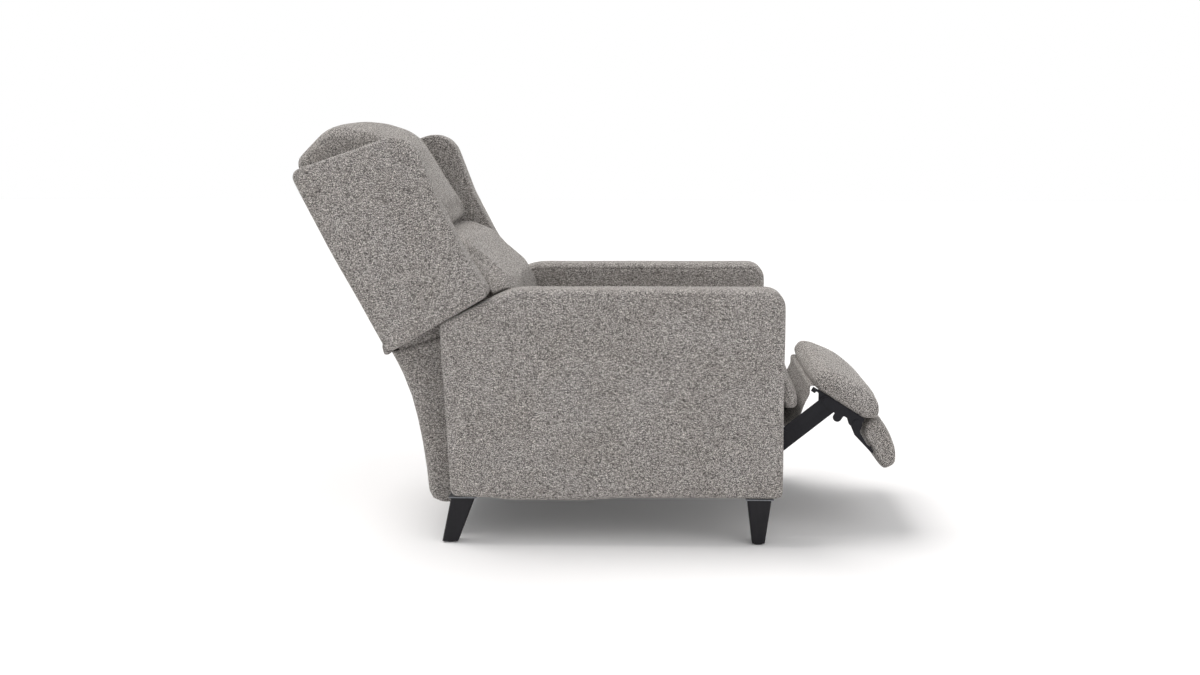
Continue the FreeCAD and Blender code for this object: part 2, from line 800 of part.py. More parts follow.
def make_back_frame(bolts):
    """Stiles and rails of the back."""
    rear = back_panel_thickness
    front = rear + back_board_depth
    low, high = -back_skirt, wing_height - wing_top_fall
    inner = back_frame_half - back_rail_width
    wide = half_width - wing_thickness
    shoulder = back_skirt + back_rail_width
    stiles = []
    for solid in (back_block(low, high, rear, front, inner, back_frame_half),
                  back_block(shoulder, high, rear, front, back_frame_half, wide)):
        for bolt in bolts:
            solid = solid.cut(bolt)
        stiles += both_sides(solid)
    rails = [back_block(start, start + back_rail_width, rear, front, -inner, inner)
             for start in (low, (low + high - back_rail_width) / 2, high - back_rail_width)]
    return stiles + rails


def make_webbing():
    """Elastic bands across the back, under the pillows."""
    front = back_panel_thickness + back_board_depth
    rise = (wing_height - wing_top_fall) / (webbing_count + 1)
    half = back_frame_half - back_rail_width / 2
    return [back_block(rise * number, rise * number + webbing_width, front, front + webbing_thickness,
                       -half, half) for number in range(1, webbing_count + 1)]


def make_back_bracket():
    """Steel arm of the left side, from the drive link past the back pivot to the back frame."""
    half = back_bracket_width / 2
    foot = back_point(-back_skirt, back_panel_thickness + back_board_depth / 2)
    head = back_point(back_bracket_hold, back_panel_thickness + back_board_depth / 2)
    corners = [
        (drive_pin[0] + half, drive_pin[1] - half, half * link_round_share),
        (back_pin[0] + half, back_pin[1] - half, back_boss_flare),
        (foot[0], foot[1] - half, back_boss_flare),
        (*shifted(head, half, -back_angle), half * link_round_share),
        (*shifted(head, -half, -back_angle), half * link_round_share),
        (foot[0] - 2 * half, foot[1] + half / 2, back_boss_flare),
        (back_pin[0] - half, back_pin[1] + half, half),
        (drive_pin[0] - half, drive_pin[1] - half, half * link_round_share)]
    return riveted(plate(corners, SWING, [(back_pin, swing_eye)]), (drive_pin, SWING, LOWER, False, True))


def make_side_panel():
    """Covered panel outside the left bracket, which closes the gap under the wing."""
    top = back_skirt + back_rail_width
    rear = back_panel_thickness
    step = rear + back_board_depth
    corners = back_corners([
        (-side_panel_drop, rear, frame_edge_radius), (top, rear, 0), (top, step, 0),
        (side_panel_rise, step, 0), (side_panel_rise, side_panel_front, frame_edge_radius),
        (-side_panel_drop - side_panel_fall, side_panel_front, frame_edge_radius)])
    return plate(corners, RAIL)


def make_head_pillow():
    """Pillow that domes over the top of the back between the wings."""
    board_top = wing_height - wing_top_fall + head_gap
    board_front = back_board_front + back_gap
    rows = [(head_bottom, board_front, rail_corner, 0)]
    rows += spread(head_pillow_shares, head_bottom, head_top - head_bottom, head_front)
    rows += [(board_top, head_rear, rail_corner, 0), (board_top, board_front, frame_edge_radius, 0)]
    return crowned(back_corners(rows), pillow_half, head_crown)


def make_lumbar_pillow():
    """Pillow that bulges over the seat and narrows to pass between the arms."""
    board_front = back_board_front + back_gap
    low = -lumbar_bottom
    rows = [(low, board_front, seat_rear_radius, 0)]
    rows += spread(lumbar_pillow_shares, 0, low, lumbar_front)
    rows.append((head_bottom - pillow_gap, board_front, rail_corner, 0))
    solid = crowned(back_corners(rows), pillow_half, lumbar_crown)
    narrow = plane_at(SWING) - plate_thickness - pillow_side_gap
    shoulder = (back_skirt + back_rail_width) * lumbar_narrow_share
    beside_arm = slab(arm_corners(-pillow_arm_gap), narrow, half_width)
    under_wing = back_block(2 * low, shoulder, 0, wing_depth - wing_corner_radius, narrow, half_width)
    for notch in both_sides(beside_arm) + both_sides(under_wing):
        solid = solid.cut(notch)
    return solid


# Cloth that closes the base: behind the seat, and between the seat and the footrest
def curtain_corners(wall):
    """Side outline of the curtain, or of its hollow, which is open in front and above."""
    front = arm_rear + curtain_gap - wall
    rear = back_corner_place + curtain_flare - wall
    top_front = curtain_top_height + (rear - front) * math.tan(math.radians(curtain_top_angle))
    return [
        (front - arm_rear_rake, curtain_bottom + wall, 0),
        (rear - curtain_taper, curtain_bottom + wall, curtain_radius - wall),
        (rear - curtain_waist, back_corner_height * curtain_waist_share, arm_slope_radius),
        (rear, curtain_top_height + wall, 0),
        (front, top_front + wall, 0),
        (front, top_front - arm_slope_drop, 0)]


def make_curtain():
    """Rear cover of the base: a rounded rear wall with two side walls."""
    half = inner_half + curtain_side_gap
    hollow = slab(curtain_corners(curtain_wall), curtain_wall - half, half - curtain_wall)
    return slab(curtain_corners(0), -half, half).cut(hollow)


def make_gap_cover():
    """Cloth that hangs from the leg rest and runs back under the seat's lip."""
    start = footrest_point(rail_corner / 2, cover_gap + cover_cloth / 2)
    lip = seat_lip_bottom - cover_gap - cover_cloth
    frame_bottom = seat_frame_top - seat_frame_height - cover_cloth / 2
    board = -seat_front + seat_lip_thickness
    path = [start, (-seat_front - cover_droop * cover_droop_share, seat_lip_bottom + cover_droop),
            (-seat_front + cover_gap, lip), (board, lip), (board + seat_frame_board, frame_bottom)]
    return ribbon(path, cover_cloth, inner_half - cover_side_gap, frame_edge_radius)


nodes = {}


def keep(name, solids):
    """Name a piece; a list holds its separate solids."""
    nodes[name] = Part.makeCompound(solids) if isinstance(solids, list) else solids


def keep_pair(name, solid):
    """Name a left piece and its right twin."""
    keep(name + "_left", solid)
    keep(name + "_right", solid.mirror(V(), X_AXIS))


def mirrored(solids):
    """Left solids with their right twins."""
    return [twin for solid in solids for twin in both_sides(solid)]


cover, frame, rail_bolts = make_arms()
keep_pair("arm_cover", cover)
keep_pair("arm_frame", frame)
keep("rail_bolts", mirrored(rail_bolts))
keep("front_stretcher", stretcher(-front_stretcher_place))
keep("rear_stretcher", stretcher(rear_stretcher_place))

corners_of_base = {"front": (-leg_front_place, 0, leg_front_foot),
                   "rear": (leg_rear_place, leg_rear_splay, leg_rear_foot)}
leg_parts = {name: make_leg(*sizes) for name, sizes in corners_of_base.items()}
for name, parts in leg_parts.items():
    keep_pair(name + "_leg", parts[0])
keep("leg_plates", mirrored([parts[1] for parts in leg_parts.values()]))
keep("leg_bolts", mirrored([parts[2] for parts in leg_parts.values()]))
keep("leg_glides", mirrored([parts[3] for parts in leg_parts.values()]))

keep_pair("base_rail", make_base_rail())
keep("rear_curtain", make_curtain())

keep("rear_swing_links", both_sides(strap(rear_swing_foot, rear_swing_head, SWING,
                                          [(rear_swing_foot, swing_eye), (rear_swing_head, swing_eye)])))
keep("front_swing_links", both_sides(strap(front_swing_foot, front_swing_head, SWING,
                                           [(front_swing_foot, swing_eye),
                                            (front_swing_head, pin_radius + open_clearance)])))

keep_pair("seat_plate", make_seat_plate())
keep("seat_frame", make_seat_frame())
keep("seat_springs", make_seat_springs())
keep("seat_cushion", make_seat_cushion())
keep("gap_cover", make_gap_cover())

keep_pair("lower_link", make_lower_link())
keep("companion_links", both_sides(strap(companion_pin, companion_eye, BRACKET,
                                         [(companion_pin, swing_eye),
                                          (companion_eye, pin_radius + open_clearance)])))
keep_pair("upper_link", riveted(strap(elbow_pin, upper_pin, UPPER,
                                      [(elbow_pin, swing_eye), (upper_pin, swing_eye)]),
                                (companion_eye, UPPER, BRACKET, True, False)))
keep("guide_links", both_sides(strap(guide_eye, guide_pin, GUIDE,
                                     [(guide_eye, pin_radius + open_eye_clearance),
                                      (guide_pin, swing_eye)])))
keep("drive_links", both_sides(strap(drive_seat_pin, drive_pin, LOWER,
                                     [(drive_seat_pin, swing_eye),
                                      (drive_pin, pin_radius + open_eye_clearance)])))

keep_pair("footrest_bracket", make_footrest_bracket())
keep("footrest_board", footrest_board())
keep("footrest_pad", make_footrest_pad().cut(footrest_board()))
keep_pair("flipper_arm", make_flipper_arm())
keep("flipper_board", flipper_board())
keep("flipper_pad", make_flipper_pad().cut(flipper_board()))

wing_cover, wing_board_piece, wing_bolts = make_wing()
keep_pair("wing_cover", wing_cover)
keep_pair("wing_board", wing_board_piece)
keep("wing_bolts", mirrored(wing_bolts))
keep("back_frame", make_back_frame(wing_bolts))
keep("back_webbing", make_webbing())
keep_pair("back_bracket", make_back_bracket())
keep("back_side_panels", both_sides(make_side_panel()))
wide = half_width - wing_thickness
keep("back_panel", slab(back_corners([(-back_skirt, 0, 0), (wing_height - wing_top_fall, 0, 0),
                                      (wing_height - wing_top_fall, back_panel_thickness, 0),
                                      (-back_skirt, back_panel_thickness, 0)]), -wide, wide))
tail_rear = back_panel_thickness + back_board_depth
tail_half = back_frame_half - back_tail_inset
keep("back_tail", back_block(-back_tail_length, back_tail_overlap, tail_rear, tail_rear + back_tail_thickness,
                             -tail_half, tail_half))
keep("head_pillow", make_head_pillow())
keep("lumbar_pillow", make_lumbar_pillow())

os.makedirs("parts", exist_ok=True)
for name, shape in nodes.items():
    shape.exportStep(os.path.join("parts", name + ".step"))

whole = Part.makeCompound(list(nodes.values())).BoundBox
print(len(nodes), "nodes; box", whole)
for name, shape in nodes.items():
    if not shape.isValid():
        print("not valid:", name)
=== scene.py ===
import json
import math
import bpy
import numpy as np
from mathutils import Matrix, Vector


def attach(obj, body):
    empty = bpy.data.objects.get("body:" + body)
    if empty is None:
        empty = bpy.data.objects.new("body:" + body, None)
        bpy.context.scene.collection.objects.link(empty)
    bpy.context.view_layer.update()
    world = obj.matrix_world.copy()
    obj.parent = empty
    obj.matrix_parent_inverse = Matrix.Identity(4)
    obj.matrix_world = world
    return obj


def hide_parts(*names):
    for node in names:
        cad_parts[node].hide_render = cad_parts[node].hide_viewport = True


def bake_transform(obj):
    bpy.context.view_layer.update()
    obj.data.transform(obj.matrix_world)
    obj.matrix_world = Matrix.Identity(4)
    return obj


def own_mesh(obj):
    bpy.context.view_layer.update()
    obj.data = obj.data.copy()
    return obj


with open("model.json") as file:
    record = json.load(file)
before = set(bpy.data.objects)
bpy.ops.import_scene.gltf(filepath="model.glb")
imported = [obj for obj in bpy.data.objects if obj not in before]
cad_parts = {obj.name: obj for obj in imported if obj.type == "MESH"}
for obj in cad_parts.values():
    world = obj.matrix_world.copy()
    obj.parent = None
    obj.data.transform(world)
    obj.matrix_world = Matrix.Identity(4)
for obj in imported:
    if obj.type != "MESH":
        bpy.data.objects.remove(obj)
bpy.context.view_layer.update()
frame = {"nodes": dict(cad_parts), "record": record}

# High leg recliner, leaned back. Lengths are millimetres and angles degrees, unless a comment says
# metres. Outlines are seen from the side: y runs to the rear and z up, and x is the chair's width.
MM = 0.001
scene = bpy.context.scene
scene.view_settings.view_transform = "Standard"

# Camera at the photograph's place and angle, its place in metres
CAMERA_PLACE = (-3.700, -0.120, 1.0213)
CAMERA_TURN = 1.98
CAMERA_TILT = 8.62
SENSOR_WIDTH = 36
LENS = 42.42
VIEW_END = 100

# Where the back, the leg rest and its flap start, and how they lean
BACK_PIVOT = (511, 481)
BACK_LEAN = -27.6
REST_PLACE = (-523, 381)
REST_SLOPE = 32
FLAP_PIN = (145, -20)
FLAP_SLOPE = 60

# Widths: distances from the middle of the chair
ARM_INNER, ARM_OUTER = 274, 370
WING_INNER, WING_OUTER = 294, 370
PILLOW_HALF = 290
PILLOW_SEAM = 283
SEAT_HALF = 262
REST_HALF = 260
FLAP_HALF = 239
PANEL_HALF = 293
APRON_INNER, APRON_OUTER = 267.6, 271.6
TAIL_HALF = 241
COVER_HALF = 234
CURTAIN_HALF = 272.5

# The arm's seam runs round the top, where the bearing from ARM_MIDDLE is outside these two
ARM_MIDDLE = (-30, 300)
ARM_SEAM_GAP = (-150, 25)

# The arm's top, which slopes down behind ARM_SLOPE_START
ARM_TOP = 634
ARM_SLOPE_TOP = 630
ARM_SLOPE_START = 205
ARM_SLOPE = 0.472

# How far and over what run the lumbar pillow narrows between the arms and under the wings
PILLOW_NARROWING = 30
ARM_NARROW_RUN = 5
WING_FRONT = 280
WING_FOOT = 50
WING_NARROW_RUN = 14

# Seams are sewn this far inside a pad's side; cushions are blown up for this many frames
SEAM_INSET = 0.5
CLOTH_FRAMES = 20

# A seam's welt, in widths of its valley and as a share of its depth
WELT_PLACE = 2.4
WELT_WIDTH = 1.2
WELT_SHARE = 0.35
SEAM_REACH = 6

# Sizes and shares of the three waves that make a surface uneven, and how they bend each other
WAVE_SCALES = (1.0, 0.61, 0.37)
WAVE_SHARES = (1, 0.55, 0.3)
WAVE_BENDS = (1.3, 1.1)
WAVE_ACROSS = 0.8

# Rounded outlines: share of an edge that a corner may take, and the radius below which it is sharp
CORNER_ROOM = 0.49
SHARP_BEND = 0.5

# Pads: steps of a rim, and where and how fast the outline is drawn in towards the sides
RIM_STEPS = 6
PULL_FROM = 0.8
PULL_GROWTH = 5

# Tweed: flecks from dark to light as stops of (noise value, colour), slubs and clouds as factors
TWEED_TONE = 0.87
FLECK_STOPS = ((0.40, (24, 22, 23)), (0.48, (118, 113, 111)), (0.53, (172, 167, 163)),
               (0.61, (270, 265, 259)))
SLUB_STOPS = ((0.34, (0.36, 0.35, 0.35, 1)), (0.46, (1, 1, 1, 1)), (0.58, (1, 1, 1, 1)),
              (0.70, (1.45, 1.44, 1.43, 1)))
CLOUD_STOPS = ((0.3, (0.95, 0.94, 0.93, 1)), (0.7, (1.05, 1.05, 1.06, 1)))
FLECK_SCALE = 760
SLUB_SCALE = 520
CLOUD_SCALE = 9
KNOT_SCALE = 420.0
SLUB_SHARE = 0.85
OBLIQUE = (37, 23, 48)

# Hard finishes: size of the patches in which they are worn
PATCH_SCALE = 24

# Light: strength of the white studio on the chair, the floor and its own glow, the lamps' colour
STUDIO_LEVEL = 0.52
FLOOR_HALF = 15000
FLOOR_COLOUR = (0.86, 0.86, 0.865, 1)
FLOOR_GLOW = 0.07
WARM_WHITE = (1.0, 0.975, 0.955)


def add_camera():
    data = bpy.data.cameras.new("camera")
    data.sensor_width = SENSOR_WIDTH
    data.lens = LENS
    data.clip_end = VIEW_END
    camera = bpy.data.objects.new("camera", data)
    scene.collection.objects.link(camera)
    turn, tilt = math.radians(CAMERA_TURN), math.radians(CAMERA_TILT)
    ahead = Vector((math.cos(turn) * math.cos(tilt), math.sin(turn) * math.cos(tilt),
                    -math.sin(tilt)))
    camera.location = CAMERA_PLACE
    camera.rotation_euler = ahead.to_track_quat("-Z", "Y").to_euler()
    scene.camera = camera


add_camera()


# Places on the chair, as (y, z)
def turned(y, z, angle):
    c, s = math.cos(math.radians(angle)), math.sin(math.radians(angle))
    return y * c - z * s, y * s + z * c


def back_point(up, forward):
    dy, dz = turned(-forward, up, BACK_LEAN)
    return BACK_PIVOT[0] + dy, BACK_PIVOT[1] + dz


def rest_point(along, above):
    dy, dz = turned(-along, above, REST_SLOPE)
    return REST_PLACE[0] + dy, REST_PLACE[1] + dz


flap_pin = rest_point(*FLAP_PIN)


def flap_point(along, above):
    dy, dz = turned(-along, above, FLAP_SLOPE)
    return flap_pin[0] + dy, flap_pin[1] + dz


def placed(point, rows):
    """Outline corners (first, second, radius) of the back, leg rest or flap, as (y, z, radius)."""
    return [(*point(row[0], row[1]), row[2]) for row in rows]


def second_axis(point):
    """Direction in which the second value of a place function grows."""
    return np.array(point(0, 1)) - np.array(point(0, 0))


# Outlines
def resample(points, step):
    """Closed outline with points an even step apart."""
    loop = np.vstack([points, points[:1]])
    run = np.concatenate([[0], np.cumsum(np.linalg.norm(np.diff(loop, axis=0), axis=1))])
    count = max(12, int(run[-1] / step))
    at = np.linspace(0, run[-1], count, endpoint=False)
    return np.stack([np.interp(at, run, loop[:, axis]) for axis in (0, 1)], 1)


def rounded(corners, step=6.0):
    """Closed outline through (y, z, radius) corners, counterclockwise."""
    points = []
    for number, (y, z, radius) in enumerate(corners):
        here = np.array((y, z), float)
        before = np.array(corners[number - 1][:2]) - here
        after = np.array(corners[(number + 1) % len(corners)][:2]) - here
        room = CORNER_ROOM * min(np.linalg.norm(before), np.linalg.norm(after))
        before /= np.linalg.norm(before)
        after /= np.linalg.norm(after)
        half = math.acos(max(-1, min(1, float(before @ after)))) / 2
        run = min(radius / math.tan(half), room)
        bend = run * math.tan(half)
        if bend < SHARP_BEND:
            points.append(here)
            continue
        inward = before + after
        inward /= np.linalg.norm(inward)
        centre = here + inward * bend / math.sin(half)
        first, last = here + before * run - centre, here + after * run - centre
        start = math.atan2(first[1], first[0])
        sweep = math.atan2(last[1], last[0]) - start
        sweep = (sweep + math.pi) % (2 * math.pi) - math.pi
        parts = max(2, int(abs(sweep) * bend / step) + 1)
        for part in range(parts + 1):
            angle = start + sweep * part / parts
            points.append(centre + bend * np.array((math.cos(angle), math.sin(angle))))
    loop = resample(np.array(points), step)
    ahead = np.roll(loop, -1, 0)
    area = 0.5 * np.sum(loop[:, 0] * ahead[:, 1] - ahead[:, 0] * loop[:, 1])
    return loop if area > 0 else loop[::-1]


def inset(loop, depth):
    """A counterclockwise outline moved inwards; a negative depth moves it out."""
    along = np.roll(loop, -1, 0) - np.roll(loop, 1, 0)
    along /= np.linalg.norm(along, axis=1, keepdims=True)
    return loop + np.stack([-along[:, 1], along[:, 0]], 1) * depth


def at_side(loop, x):
    """A (y, z) outline as (x, y, z) points."""
    return np.column_stack([np.full(len(loop), x), loop])


def dense(path, closed=False, step=3.0):
    """Points a small step apart along an (x, y, z) path."""
    path = np.asarray(path, float)
    if closed:
        path = np.vstack([path, path[:1]])
    run = np.concatenate([[0], np.cumsum(np.linalg.norm(np.diff(path, axis=0), axis=1))])
    at = np.linspace(0, run[-1], max(2, int(run[-1] / step)))
    return np.stack([np.interp(at, run, path[:, axis]) for axis in range(3)], 1)


# Meshes
def new_object(name, points, faces):
    mesh = bpy.data.meshes.new(name)
    mesh.from_pydata([tuple(p) for p in np.asarray(points) * MM], [], faces)
    mesh.update()
    made = bpy.data.objects.new(name, mesh)
    scene.collection.objects.link(made)
    return made


def lofted(name, sections):
    """Closed mesh through (x, outline) sections."""
    count = len(sections[0][1])
    points = [(x, y, z) for x, loop in sections for y, z in loop]
    last = count * (len(sections) - 1)
    faces = [list(range(count)), [last + i for i in range(count)][::-1]]
    for level in range(len(sections) - 1):
        for i in range(count):
            j = (i + 1) % count
            low, high = level * count, (level + 1) * count
            faces.append([low + j, low + i, high + i, high + j])
    return new_object(name, points, faces)


def pad(name, loop, x0, x1, rim, crown=0.0, pull=0.0, across=16):
    """Pad from x0 to x1. Its sides have a rounded rim, or one each as a pair (low, high), its
    middle swells by crown, and pull draws its outline in towards the sides."""
    middle, half = (x0 + x1) / 2, (x1 - x0) / 2
    low_rim, high_rim = rim if isinstance(rim, tuple) else (rim, rim)

    def rounding(size):
        turns = [step / RIM_STEPS * math.pi / 2 for step in range(RIM_STEPS + 1)]
        return [(half - size * (1 - math.cos(turn)), size * (1 - math.sin(turn)))
                for turn in turns]
    start, end = half - low_rim, high_rim - half
    inner = [(start + (end - start) * k / across, 0.0) for k in range(1, across)]
    stations = rounding(low_rim) + inner + [(-x, depth) for x, depth in rounding(high_rim)[::-1]]
    sections = []
    for x, depth in stations:
        swell = crown * (1 - (x / half) ** 2)
        drawn = pull * max(0, abs(x) / half - PULL_FROM) * PULL_GROWTH
        sections.append((middle - x, inset(loop, depth - swell + drawn)))
    return lofted(name, sections)


def bake(piece):
    """Applies a piece's modifiers."""
    graph = bpy.context.evaluated_depsgraph_get()
    mesh = bpy.data.meshes.new_from_object(piece.evaluated_get(graph))
    old = piece.data
    piece.modifiers.clear()
    piece.data = mesh
    mesh.name = piece.name
    bpy.data.meshes.remove(old)


def remesh(piece, voxel):
    change = piece.modifiers.new("voxels", "REMESH")
    change.mode = "VOXEL"
    change.voxel_size = voxel * MM
    bake(piece)


def smooth(piece, times):
    change = piece.modifiers.new("smooth", "SMOOTH")
    change.factor = 0.5
    change.iterations = times
    bake(piece)


def subdivide(piece):
    change = piece.modifiers.new("subdivide", "SUBSURF")
    change.levels = 1
    change.render_levels = 1
    bake(piece)


def coordinates(piece):
    values = np.empty(len(piece.data.vertices) * 3)
    piece.data.vertices.foreach_get("co", values)
    return values.reshape(-1, 3) / MM


def normals(piece):
    values = np.empty(len(piece.data.vertices) * 3)
    piece.data.vertices.foreach_get("normal", values)
    return values.reshape(-1, 3)


def move_to(piece, points):
    piece.data.vertices.foreach_set("co", (points * MM).ravel())
    piece.data.update()


def inflate(piece, pressure, cap, free):
    """Blows a closed mesh up as cloth; no point moves further than cap times its share free."""
    start = coordinates(piece)
    cloth = piece.modifiers.new("cloth", "CLOTH")
    cloth.settings.quality = 4
    cloth.settings.mass = 0.3
    cloth.settings.tension_stiffness = 12
    cloth.settings.compression_stiffness = 12
    cloth.settings.shear_stiffness = 5
    cloth.settings.bending_stiffness = 0.5
    cloth.settings.use_pressure = True
    cloth.settings.uniform_pressure_force = pressure
    cloth.settings.effector_weights.gravity = 0
    for number in range(1, CLOTH_FRAMES + 1):
        scene.frame_set(number)
    graph = bpy.context.evaluated_depsgraph_get()
    swollen = piece.evaluated_get(graph).to_mesh()
    values = np.empty(len(swollen.vertices) * 3)
    swollen.vertices.foreach_get("co", values)
    piece.evaluated_get(graph).to_mesh_clear()
    piece.modifiers.clear()
    scene.frame_set(1)
    change = values.reshape(-1, 3) / MM - start
    size = np.linalg.norm(change, axis=1, keepdims=True)
    change *= np.minimum(1, cap / np.maximum(size, 1e-6))
    change *= free(start)[:, None]
    move_to(piece, start + change)


def nearest(points, path, reach):
    """Distance from points to a path of close points, only worked out within reach."""
    far = np.full(len(points), 1e3)
    low, high = path.min(0) - reach, path.max(0) + reach
    close = np.where(np.all((points > low) & (points < high), 1))[0]
    for part in np.array_split(close, max(1, len(close) // 4000)):
        gap = points[part][:, None, :] - path[None, :, :]
        far[part] = np.sqrt((gap ** 2).sum(2).min(1))
    return far


def groove(piece, paths, depth, width):
    """Sews seams into a piece: a narrow valley along each path with a low welt beside it."""
    points, out = coordinates(piece), normals(piece)
    push = np.zeros(len(points))
    for path in paths:
        away = nearest(points, path, SEAM_REACH * width)
        valley = np.exp(-(away / width) ** 2)
        welt = np.exp(-((away - WELT_PLACE * width) / (WELT_WIDTH * width)) ** 2)
        push = np.minimum(push, -depth * valley) + depth * WELT_SHARE * welt * (valley < 0.5)
    move_to(piece, points + out * push[:, None])


def ripple(piece, height, length, seed):
    """Slight unevenness of stuffing under the cloth."""
    points, out = coordinates(piece), normals(piece)
    shift = np.random.default_rng(seed).uniform(0, 100, 9)
    wave = np.zeros(len(points))
    for number in range(3):
        scale = length / WAVE_SCALES[number]
        y, z, x = points[:, 1] / scale, points[:, 2] / scale, points[:, 0] / scale
        a, b, c = shift[3 * number:3 * number + 3]
        wave += (np.sin(y + a + WAVE_BENDS[0] * np.sin(z + b)) *
                 np.sin(z + c + WAVE_BENDS[1] * np.sin(x + a)) *
                 WAVE_SHARES[number] * np.cos(WAVE_ACROSS * x + b))
    move_to(piece, points + out * (wave * height)[:, None])


def finish_piece(piece, body, material, nodes=()):
    """Gives a piece its material, smooth shading, body and slot, and hides the solids it replaces.
    """
    piece.data.materials.clear()
    piece.data.materials.append(material)
    for face in piece.data.polygons:
        face.use_smooth = True
    if body:
        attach(piece, body)
    if nodes:
        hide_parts(*nodes)


# Materials
def tree_of(name):
    material = bpy.data.materials.new(name)
    material.use_nodes = True
    material.node_tree.nodes.clear()
    return material, material.node_tree


def node(tree, kind, inputs, **settings):
    """Adds a node; an input is a value or another node's socket."""
    made = tree.nodes.new(kind)
    for key, value in settings.items():
        setattr(made, key, value)
    for key, value in inputs.items():
        if isinstance(value, bpy.types.NodeSocket):
            tree.links.new(value, made.inputs[key])
        else:
            made.inputs[key].default_value = value
    return made


def linear(red, green, blue):
    """Linear colour for display values from 0 to 255."""
    def one(value):
        value /= 255
        return value / 12.92 if value <= 0.04045 else ((value + 0.055) / 1.055) ** 2.4
    return one(red), one(green), one(blue), 1


def ramp(tree, factor, stops):
    made = node(tree, "ShaderNodeValToRGB", {"Fac": factor})
    elements = made.color_ramp.elements
    while len(elements) < len(stops):
        elements.new(0.5)
    for element, (place, colour) in zip(elements, stops):
        element.position = place
        element.color = colour
    return made.outputs["Color"]


def mix(tree, kind, factor, first, second):
    made = node(tree, "ShaderNodeMix", {0: factor, 6: first, 7: second},
                data_type="RGBA", blend_type=kind)
    return made.outputs[2]


def noise(tree, place, scale, detail, rough):
    made = node(tree, "ShaderNodeTexNoise",
                {"Vector": place, "Scale": scale, "Detail": detail, "Roughness": rough})
    return made.outputs["Fac"]


def stretched(tree, source, turn, scale):
    """Object coordinates turned about each axis, then scaled per axis."""
    spin = node(tree, "ShaderNodeMapping",
                {"Vector": source, "Rotation": [math.radians(angle) for angle in turn]})
    return node(tree, "ShaderNodeMapping", {"Vector": spin.outputs[0], "Scale": scale}).outputs[0]


def fabric(name, turn, run):
    """Heathered tweed: light and dark flecks, slubs along the weft and a fine knotty weave."""
    material, tree = tree_of(name)
    place = node(tree, "ShaderNodeTexCoord", {}).outputs["Object"]
    grain = stretched(tree, place, turn, run)
    mixed = stretched(tree, place, OBLIQUE, (1, 1, 1))
    flecks = noise(tree, mixed, FLECK_SCALE, 1, 0.5)
    shades = [(value, linear(*(part * TWEED_TONE for part in shade)))
              for value, shade in FLECK_STOPS]
    colour = ramp(tree, flecks, shades)
    slubs = ramp(tree, noise(tree, grain, SLUB_SCALE, 1, 0.5), SLUB_STOPS)
    colour = mix(tree, "MULTIPLY", SLUB_SHARE, colour, slubs)
    cloud = ramp(tree, noise(tree, mixed, CLOUD_SCALE, 3, 0.55), CLOUD_STOPS)
    colour = mix(tree, "MULTIPLY", 1.0, colour, cloud)
    knots = node(tree, "ShaderNodeTexVoronoi", {"Vector": mixed, "Scale": KNOT_SCALE},
                 feature="SMOOTH_F1").outputs["Distance"]
    height = node(tree, "ShaderNodeMath", {0: knots, 1: flecks}, operation="ADD").outputs[0]
    bump = node(tree, "ShaderNodeBump", {"Strength": 0.55, "Distance": 0.0012, "Height": height})
    rough = node(tree, "ShaderNodeMapRange", {"Value": flecks, "To Min": 0.98, "To Max": 0.82})
    shader = node(tree, "ShaderNodeBsdfPrincipled", {
        "Base Color": colour, "Roughness": rough.outputs[0], "Normal": bump.outputs[0],
        "Sheen Weight": 0.22, "Sheen Roughness": 0.45, "Specular IOR Level": 0.25})
    shader.inputs["Sheen Tint"].default_value = (0.95, 0.92, 0.88, 1)
    node(tree, "ShaderNodeOutputMaterial", {"Surface": shader.outputs[0]})
    return material


def hard(name, base, worn, scale, rough, metallic=0.0, run=(1, 1, 1), turn=(31, 17, 43),
         bump_size=0.0004, coat=0.0, shine=0.5):
    """Paint, steel, wood or plastic with mottling, fine scratches or grain, and worn patches.
    Its bump is in metres."""
    material, tree = tree_of(name)
    place = node(tree, "ShaderNodeTexCoord", {}).outputs["Object"]
    grain = stretched(tree, place, turn, run)
    fine = noise(tree, grain, scale, 4, 0.6)
    patch = noise(tree, place, PATCH_SCALE, 3, 0.6)
    lighter = tuple(min(1, part * 1.5) for part in base[:3]) + (1,)
    colour = ramp(tree, fine, [(0.35, base), (0.75, lighter)])
    wear = node(tree, "ShaderNodeMapRange", {
        "Value": patch, "From Min": 0.60, "From Max": 0.78, "To Min": 0.0, "To Max": 0.45})
    colour = mix(tree, "MIX", wear.outputs[0], colour, worn)
    gloss = node(tree, "ShaderNodeMapRange", {
        "Value": patch, "From Min": 0.3, "From Max": 0.7,
        "To Min": rough - 0.08, "To Max": rough + 0.12})
    bump = node(tree, "ShaderNodeBump", {"Strength": 0.35, "Distance": bump_size, "Height": fine})
    shader = node(tree, "ShaderNodeBsdfPrincipled", {
        "Base Color": colour, "Roughness": gloss.outputs[0], "Normal": bump.outputs[0],
        "Metallic": metallic, "Coat Weight": coat, "Coat Roughness": 0.25,
        "Specular IOR Level": shine})
    node(tree, "ShaderNodeOutputMaterial", {"Surface": shader.outputs[0]})
    return material


